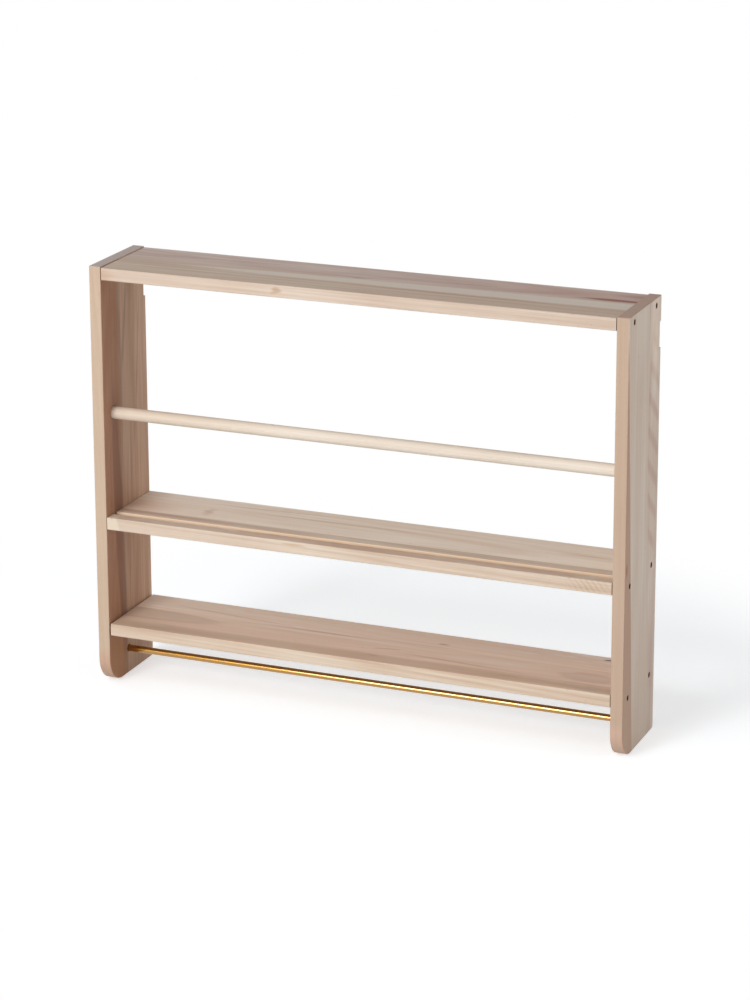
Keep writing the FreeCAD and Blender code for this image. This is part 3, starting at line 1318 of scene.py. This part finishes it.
@dataclass(frozen=True)
class Hanger:
    """Keyhole plate and its two pan-head screws.

    Attributes:
        side: Which panel carries it.
        sizes: Its sizes.
        head: Distance above the plate and radius of each step of a screw's domed head.
        length: Length of a screw under its head.
        point: Length of its pointed end, and radius of its tip.
        recess: Length, width and depth of its cross recess.
        arris: Rounding of the plate's edges.
    """

    side: Side
    sizes: HangerSizes
    head: tuple[Pair, ...] = ((1.8, 0.0), (1.75, 1.2), (1.5, 2.1), (1.0, 2.7), (0.4, 2.97), (0.0, 3.0))
    length: float = 16.0
    point: Pair = (4.0, 0.3)
    recess: Triple = (3.2, 0.7, 1.1)
    arris: Rounding = (0.25, 2)

    def plate(self, material: Material) -> Object:
        """Makes and places the plate.

        Args:
            material: Its finish.

        Returns:
            The finished plate.
        """
        node = self.side.word + "_hanger_plate"
        low, high = extent(node)
        sizes = self.sizes
        shape = block(low, high)
        round_over(shape, lambda edge: runs_along(edge, Y_AXIS), sizes.corner)
        round_over(shape, lambda edge: rims(edge, Y_AXIS), self.arris)
        face = Vector(((low.x + high.x) / 2, high.y, 0))
        height, radius = sizes.entry
        entry = face + Z_AXIS * height
        deep = sizes.thickness + RUN_OUT
        cutters = [
            bore(entry, -Y_AXIS, [(deep, radius)], self.arris[0]),
            slot_cutter(entry + Y_AXIS * RUN_OUT, -Y_AXIS, deep + RUN_OUT, sizes.slot_radius, sizes.travel),
        ]
        for place in sizes.screw_heights:
            cutters.append(bore(face + Z_AXIS * place, -Y_AXIS, [(deep, sizes.pilot[1])]))
        return Piece(node, "frame", "zinc_steel").place(cut(shape, cutters), material)

    def screws(self, material: Material) -> Object:
        """Makes and places the two screws.

        Args:
            material: Their finish.

        Returns:
            The pair as one object.
        """
        node = self.side.word + "_hanger_screws"
        low, high = extent(node)
        thin = self.sizes.screw_radius
        taper, tip = self.point
        profile = [(-rise, radius) for rise, radius in self.head]
        profile += [(0.0, thin), (self.length - taper, thin), (self.length, tip), (self.length, 0.0)]
        long, wide, deep = self.recess
        crown = self.head[0][0]
        screws = []
        for height in self.sizes.screw_heights:
            seat = Vector(((low.x + high.x) / 2, high.y - crown, height))
            top = seat + Y_AXIS * crown
            arms = [
                block(top - Vector((x / 2, deep, z / 2)), top + Vector((x / 2, RUN_OUT, z / 2)))
                for x, z in ((long, wide), (wide, long))
            ]
            screws.append(cut(turned(profile, seat, -Y_AXIS), arms))
        return Piece(node, "frame", "zinc_steel").place(together(screws), material)


def towards(azimuth: float, elevation: float) -> Vector:
    """Direction from the shelf, by degrees round it and above the floor."""
    turn, rise = math.radians(azimuth), math.radians(elevation)
    return Vector((math.sin(turn) * math.cos(rise), -math.cos(turn) * math.cos(rise), math.sin(rise)))


@dataclass(frozen=True)
class SoftBox:
    """Soft lamp that faces the shelf, in metres.

    Attributes:
        name: Its name.
        azimuth: Its angle round the shelf, in degrees.
        elevation: Its angle above the floor, in degrees.
        level: Share of white that it gives a surface facing it.
        size: Its width and height.
        away: Its distance.
        aim: Height that distances and angles count from.
    """

    name: str
    azimuth: float
    elevation: float
    level: float
    size: Pair
    away: float = 6.0
    aim: float = 0.3

    def build(self) -> None:
        """Hangs the lamp, which the camera doesn't see."""
        data = bpy.data.lights.new(self.name, "AREA")
        data.shape = "RECTANGLE"
        data.size, data.size_y = self.size
        data.energy = self.level * (math.pi * self.away) ** 2
        thing = add_object(self.name, data)
        way = towards(self.azimuth, self.elevation)
        turn = way.to_track_quat("Z", "Y").to_matrix().to_4x4()
        thing.matrix_world = Matrix.Translation(way * self.away + Z_AXIS * self.aim) @ turn
        thing.visible_camera = False


@dataclass(frozen=True)
class Studio:
    """White floor, soft light from the front and a camera on the photograph's line of sight.

    Attributes:
        azimuth: Camera's angle round the shelf from straight ahead, in degrees.
        elevation: Its angle above the floor, in degrees.
        roll: Its tilt about its own axis, in degrees.
        distance: Its distance from the target.
        target: Point that it looks at.
        lens: Its focal length.
        film: Height of the film behind it.
        shift: Its upright lens shift.
        sight: How far it sees.
        floor_half: Half the floor's width.
        floor_colour: Colour of the floor.
        floor_glow: Light that the floor adds for the camera, so that it is white where no shadow lies.
        shadow_reach: Distances from the shelf between which its shadow fades into plain white.
        fill: Level of the light from all round.
        lamps: Low front light, upper light that throws the shadow on the floor, broad light from the left,
            tall narrow light that the brass rod mirrors, and light from the right.
    """

    azimuth: float = 22.446
    elevation: float = 15.019
    roll: float = -0.162
    distance: float = 4430.2
    target: Triple = (7.61, 0.0, 528.18)
    lens: float = 114.69
    film: float = 36.0
    shift: float = -0.15
    sight: float = 100000.0
    floor_half: float = 9000.0
    floor_colour: str = "#E2E6E9"
    floor_glow: float = 0.5
    shadow_reach: Pair = (560.0, 860.0)
    fill: float = 0.29
    lamps: tuple[SoftBox, ...] = (
        SoftBox("front_soft_box", -4.0, 11.0, 0.232, (4.2, 1.6)),
        SoftBox("upper_soft_box", -30.0, 52.0, 0.17, (3.0, 2.0)),
        SoftBox("left_soft_box", -14.0, 26.0, 0.305, (2.4, 1.8)),
        SoftBox("tall_soft_box", -18.5, 17.0, 0.125, (0.95, 3.2)),
        SoftBox("right_soft_box", 92.0, 8.0, 0.25, (1.0, 2.0)),
    )

    def camera(self) -> None:
        """Sets up the camera."""
        back = towards(self.azimuth, self.elevation)
        right = Z_AXIS.cross(back).normalized()
        up = back.cross(right)
        turn = Matrix((right, up, back)).transposed() @ Matrix.Rotation(math.radians(self.roll), 3, "Z")
        data = bpy.data.cameras.new("photograph")
        data.lens = self.lens
        data.sensor_width = self.film
        data.shift_y = self.shift
        data.clip_end = self.sight * MM
        thing = add_object("photograph", data)
        eye = Vector(self.target) + back * self.distance
        thing.matrix_world = Matrix.Translation(eye * MM) @ turn.to_4x4()
        bpy.context.scene.camera = thing

    @staticmethod
    def white_to_eye(node: Adder) -> NodeSocket:
        """Adds a switch that is on for the camera and for what shines or shines through.

        Args:
            node: Adds a node to the material or the world.

        Returns:
            1 for those rays and 0 for the light itself.
        """
        camera, glossy, through = (
            node("LightPath", out=f"Is {kind} Ray") for kind in ("Camera", "Glossy", "Transmission")
        )
        either = node("Math", {0: camera, 1: glossy}, operation="ADD")
        return node("Math", {0: either, 1: through}, operation="ADD", use_clamp=True)

    def floor(self) -> None:
        """Lays the floor, which keeps the shelf's shadow."""
        shape = bmesh.new()
        bmesh.ops.create_grid(shape, x_segments=1, y_segments=1, size=self.floor_half * MM)
        mesh = as_mesh("studio_floor", shape)
        material, node = new_material("white_studio_paper")
        seen = self.white_to_eye(node)
        glow = node("Math", {0: seen, 1: self.floor_glow}, operation="MULTIPLY")
        matt = node("BsdfDiffuse", {"Color": linear(self.floor_colour)})
        near = node("AddShader", {0: matt, 1: node("Emission", {"Strength": glow})})
        away = node("VectorMath", {0: node("TexCoord", out="Object")}, "Value", operation="LENGTH")
        start, end = (reach * MM for reach in self.shadow_reach)
        far = node("MapRange", {0: away, 1: start, 2: end}, interpolation_type="SMOOTHSTEP")
        far = node("Math", {0: far, 1: seen}, operation="MULTIPLY")
        white = node("Emission", {"Strength": 1.0})
        node("OutputMaterial", {0: node("MixShader", {0: far, 1: near, 2: white})})
        mesh.materials.append(material)
        thing = add_object("studio_floor", mesh)

    def surround(self) -> None:
        """Makes the even light from all round, white where it is seen."""
        world = bpy.data.worlds.new("white_studio")
        world.use_nodes = True
        world.node_tree.nodes.clear()
        node = partial(add_node, world.node_tree)
        level = {0: self.white_to_eye(node), 1: 1.0 - self.fill, 2: self.fill}
        glow = {"Color": (1, 1, 1, 1), "Strength": node("Math", level, operation="MULTIPLY_ADD")}
        node("OutputWorld", {0: node("Background", glow)})
        bpy.context.scene.world = world

    def build(self) -> None:
        """Sets up the whole studio."""
        self.camera()
        self.floor()
        self.surround()
        for lamp in self.lamps:
            lamp.build()
        bpy.context.scene.view_settings.view_transform = "Standard"


# The wood of each piece, with places in millimetres from the piece's middle.
TOP_TIMBER = Tulipwood(
    "tulipwood_top_board",
    Grain.LENGTHWISE,
    (0.0, 0.0, 617.5),
    (
        Stave(-70.0, "#DAC8B7", "#C3AA97", (-90.0, -40.0), 0.02),
        Stave(8.0, "#D1C0B6", "#B89F94", (40.0, -45.0), 0.05),
    ),
    # Painted shade: the top face of the front stave darker than its front edge.
    patches=(Patch((0.0, 0.0, -1.0), -8.2, "#A08A78", 0.3, (-31.0, 39.0), 0.5, 1.0),),
    marks=(
        Mark((376.0, 40.0, 9.0), (460.0, 40.0, 40.0), "#AE8676", 0.5),
        Mark((400.0, -8.5, 9.0), (720.0, 17.0, 60.0), "#D6CABD", 0.8, core=0.85),
        Mark((130.0, -30.0, 9.0), (400.0, 4.0, 8.0), "#AE8474", 0.45, -0.7),
        Mark((-240.0, -38.0, 9.0), (110.0, 3.0, 8.0), "#AE8A7A", 0.3),
        Mark((352.0, 20.0, 9.0), (66.0, 8.0, 9.0), "#7A3E2C", 0.85, core=0.4),
        Mark((385.0, 48.0, 9.0), (60.0, 18.0, 10.0), "#8A5A4C", 0.45),
        Mark((135.0, 31.0, 9.0), (60.0, 3.5, 8.0), "#9C7A6C", 0.4),
        Mark((-245.0, 38.0, 9.0), (170.0, 5.0, 9.0), "#A28678", 0.4, 2.3),
        Mark((-110.0, 14.0, 9.0), (110.0, 12.0, 10.0), "#B89A8A", 0.35),
        Mark((-24.0, 9.0, 9.0), (16.0, 5.0, 6.0), "#8F6E5C", 0.45),
        Mark((-112.0, -70.0, 1.0), (11.0, 8.0, 7.0), "#A67A52", 0.5),
        Mark((-382.0, -70.0, -2.0), (26.0, 8.0, 14.0), "#B48A62", 0.3),
    ),
)
MIDDLE_TIMBER = Tulipwood(
    "tulipwood_middle_shelf",
    Grain.LENGTHWISE,
    (0.0, 0.0, 248.0),
    (
        Stave(-70.0, "#DDCCB9", "#C7AE99", (-60.0, -70.0), 0.03),
        Stave(-21.5, "#F6E5D4", "#E9D1BB", (0.0, -50.0), 0.04),
    ),
    patches=(
        Patch((1.0, 0.0, 0.34), -363.5, "#DECFBA", 0.75, (-63.0, 8.0), 1.2),
        # Painted light on the groove's rear wall, which the lip shades.
        Patch((0.0, 0.0, -1.0), -2.0, "#FADBBA", 0.66, (-41.0, 1.5), 0.5, 0.4),
    ),
    marks=(
        Mark((-376.0, -28.0, 9.0), (420.0, 14.0, 8.0), "#B07A62", 0.4),
        # Painted shade with warm reflected light on the top at the left end, next to the left panel.
        Mark((-380.0, 2.0, 9.0), (95.0, 44.0, 8.0), "#C08A70", 0.5, core=0.0),
        Mark((0.0, -60.0, 10.0), (480.0, 12.0, 2.4), "#B87E62", 0.28, core=0.8),
        Mark((-257.0, 10.0, 9.0), (11.0, 22.0, 6.0), "#B0806C", 0.35),
        Mark((-180.0, 49.0, 9.0), (170.0, 2.5, 6.0), "#B79C88", 0.5, 2.6),
        Mark((-70.0, 30.0, 9.0), (170.0, 4.5, 8.0), "#BDA48F", 0.45),
        Mark((320.0, 24.0, 9.0), (55.0, 2.0, 6.0), "#B48E76", 0.5),
        Mark((20.0, 2.0, 9.0), (260.0, 22.0, 20.0), "#EEE2D6", 0.35),
        # Painted light at the back of the left end, against the left panel's shadow.
        Mark((-310.0, 54.0, 9.0), (190.0, 34.0, 8.0), "#FAEBDC", 0.5, core=0.2),
        Mark((350.0, -70.0, 0.0), (44.0, 8.0, 16.0), "#B0865C", 0.34, curl=(0.12, 0.0, 0.1)),
        Mark((-90.0, -70.0, 4.0), (24.0, 6.0, 2.5), "#B98A5C", 0.5),
    ),
)
BOTTOM_TIMBER = Tulipwood(
    "tulipwood_bottom_shelf",
    Grain.LENGTHWISE,
    (0.0, 0.0, 86.5),
    (
        Stave(-70.0, "#DECEBA", "#C9AD96", (-50.0, -60.0), 0.04),
        Stave(-41.0, "#E8D4C4", "#D4B9A7", (10.0, -40.0), 0.05),
        Stave(12.0, "#F7E6D7", "#E8D0BF", (70.0, -50.0), -0.04),
    ),
    marks=(
        # Painted warm bounce light over the top face.
        Mark((0.0, 0.0, 10.0), (480.0, 150.0, 2.4), "#E4C1A8", 0.5, core=0.85),
        # Painted light at the back of the left end, against the left panel's shadow.
        Mark((-340.0, 50.0, 10.0), (440.0, 80.0, 3.0), "#F8E6D4", 0.5, core=0.1),
        Mark((0.0, -56.0, 9.0), (460.0, 18.0, 8.0), "#B08E78", 0.35, core=0.5),
        Mark((-345.0, -62.0, 9.0), (200.0, 30.0, 10.0), "#A88468", 0.35),
        Mark((376.0, -56.0, 9.0), (140.0, 12.0, 9.0), "#A87C68", 0.3),
        Mark((-376.0, -9.0, 9.0), (160.0, 24.0, 12.0), "#A8806E", 0.35, core=0.75),
        Mark((-376.0, -8.0, 9.0), (150.0, 19.0, 12.0), "#D6C0AA", 0.6, core=0.8),
        Mark((-60.0, 5.0, 9.0), (230.0, 7.0, 10.0), "#EFE3D6", 0.4),
        Mark((190.0, -10.0, 9.0), (110.0, 18.0, 10.0), "#E4D4C4", 0.35),
        Mark((32.0, -16.0, 9.0), (26.0, 3.0, 6.0), "#A06A5C", 0.4, 13.0),
        Mark((145.0, -29.0, 9.0), (135.0, 3.0, 6.0), "#A07868", 0.35, -3.4),
        Mark((335.0, -18.0, 9.0), (50.0, 20.0, 10.0), "#B08C7A", 0.3, core=0.7),
        Mark((-85.0, 13.0, 9.0), (120.0, 4.0, 8.0), "#95584C", 0.35),
        Mark((70.0, 17.0, 9.0), (120.0, 4.0, 8.0), "#B08A7A", 0.25),
        Mark((-230.0, 29.0, 9.0), (140.0, 4.0, 8.0), "#B08C7E", 0.3, -5.7),
        Mark((101.0, 31.0, 9.0), (16.0, 4.5, 6.0), "#9A623A", 0.5),
        Mark((338.0, 57.0, 9.0), (9.0, 4.0, 6.0), "#452722", 0.85),
        Mark((20.0, -46.0, 9.0), (16.0, 5.0, 6.0), "#A67C58", 0.3),
    ),
)
LEFT_TIMBER = Tulipwood(
    "tulipwood_left_panel",
    Grain.UPRIGHT,
    (-391.0, 0.0, 314.0),
    (
        Stave(-70.0, "#D0BDAA", "#B79E8A", (-35.0, -40.0), 0.08),
        Stave(-13.0, "#DFBDA2", "#BE967C", (40.0, -90.0), 0.02),
    ),
    patches=(Patch((1.0, 0.0, 0.0), 400.0, "#BA7448", 0.62, (-46.0, 30.0), feather=9.0),),
    marks=(
        Mark((-80.0, -29.0, 9.0), (250.0, 16.0, 14.0), "#6A3E34", 0.4, -2.9, 0.6),
        Mark((205.0, -3.0, 9.0), (110.0, 7.0, 10.0), "#70503F", 0.35, 8.5),
        Mark((215.0, -25.0, 9.0), (90.0, 4.0, 8.0), "#B08C76", 0.3, 4.0),
        Mark((150.0, 38.0, 9.0), (140.0, 3.0, 8.0), "#80584A", 0.35, 5.7),
        Mark((-150.0, 2.0, 9.0), (70.0, 2.5, 8.0), "#80584A", 0.35, 4.0),
        Mark((20.0, 12.0, 9.0), (90.0, 2.5, 8.0), "#80584A", 0.3, 3.0),
        Mark((-300.0, -48.0, 9.0), (80.0, 36.0, 10.0), "#C48A5C", 0.5, core=0.6),
    ),
    # Painted sheen: the top end grain lighter and greyer.
    end_shade_and_sheen="#B6A9A5",
    edge="#C6AB92",
)
RIGHT_TIMBER = Tulipwood(
    "tulipwood_right_panel",
    Grain.UPRIGHT,
    (391.0, 0.0, 314.0),
    (
        Stave(-70.0, "#DBCCBD", "#CCB8A7", (-20.0, -130.0), 0.01),
        Stave(27.0, "#DAC9BB", "#C9B1A0", (50.0, -45.0), 0.05),
    ),
    skew=0.0345,
    patches=(Patch((0.0733, 1.0, 0.0), -49.5, "#AE8870", 0.85, (-45.0, 30.0), 1.0),),
    marks=(
        Mark((116.0, 44.0, 9.0), (200.0, 27.0, 12.0), "#A87458", 0.32, core=0.7, curl=(0.021, 0.019, 0.0)),
        Mark((-220.0, 52.0, 9.0), (130.0, 20.0, 12.0), "#B0928C", 0.35),
        Mark((280.0, 48.0, 9.0), (120.0, 30.0, 10.0), "#EEDCCA", 0.5, core=0.3),
        Mark((-38.0, -63.0, 9.0), (14.0, 6.0, 8.0), "#8A4A20", 0.6),
        # Painted shade: the outer face darker towards the foot.
        Mark((-330.0, 0.0, 9.0), (300.0, 120.0, 10.0), "#AE9884", 0.35, core=0.0),
    ),
    # Painted sheen: the top end grain greyer.
    end_shade_and_sheen="#A88C7E",
    edge="#B6967B",
)
DOWEL = Tulipwood(
    "pale_dowel_wood",
    Grain.LENGTHWISE,
    (0.0, -39.0, 406.5),
    (Stave(-70.0, "#EADECF", "#DBCBBA", (-30.0, -80.0), 0.0),),
    # Painted shade: the dowel darker towards its left end.
    marks=(Mark((-330.0, 0.0, 0.0), (300.0, 60.0, 60.0), "#C8AE94", 0.4, core=0.1),),
    ring_width=2.4,
    weights=(0.7, 0.7, 0.5),
)


def main() -> None:
    """Builds the shelf piece by piece, and the studio round it."""
    logging.basicConfig(level=logging.INFO, format="%(name)s %(message)s")
    joinery, hanger = Joinery(), HangerSizes()
    timbers = {"top": TOP_TIMBER, "middle": MIDDLE_TIMBER, "bottom": BOTTOM_TIMBER}
    levels = {level: timber.centre[2] for level, timber in timbers.items()}
    zinc = ZincPlate().material()
    for side, timber in ((Side.LEFT, LEFT_TIMBER), (Side.RIGHT, RIGHT_TIMBER)):
        SidePanel(side, timber, joinery, hanger, tuple(levels.values())).build()
    Board("top_board", TOP_TIMBER, joinery, end_gaps=(0.9, 0.5)).build()
    Board("middle_shelf", MIDDLE_TIMBER, joinery, Groove()).build()
    Board("bottom_shelf", BOTTOM_TIMBER, joinery, end_gaps=(2.2, 0.3)).build()
    Rail("plate_rail", "rail_wood", DOWEL, chamfer=0.8).build()
    Rail("hook_rail", "brass", DrawnBrass(), chamfer=0.6).build()
    for side in Side:
        for level, height in levels.items():
            AssemblyScrews(level, side, height, joinery).build(zinc)
        fitting = Hanger(side, hanger)
        fitting.plate(zinc)
        fitting.screws(zinc)
    Studio().build()


if __name__ == "__main__":
    main()
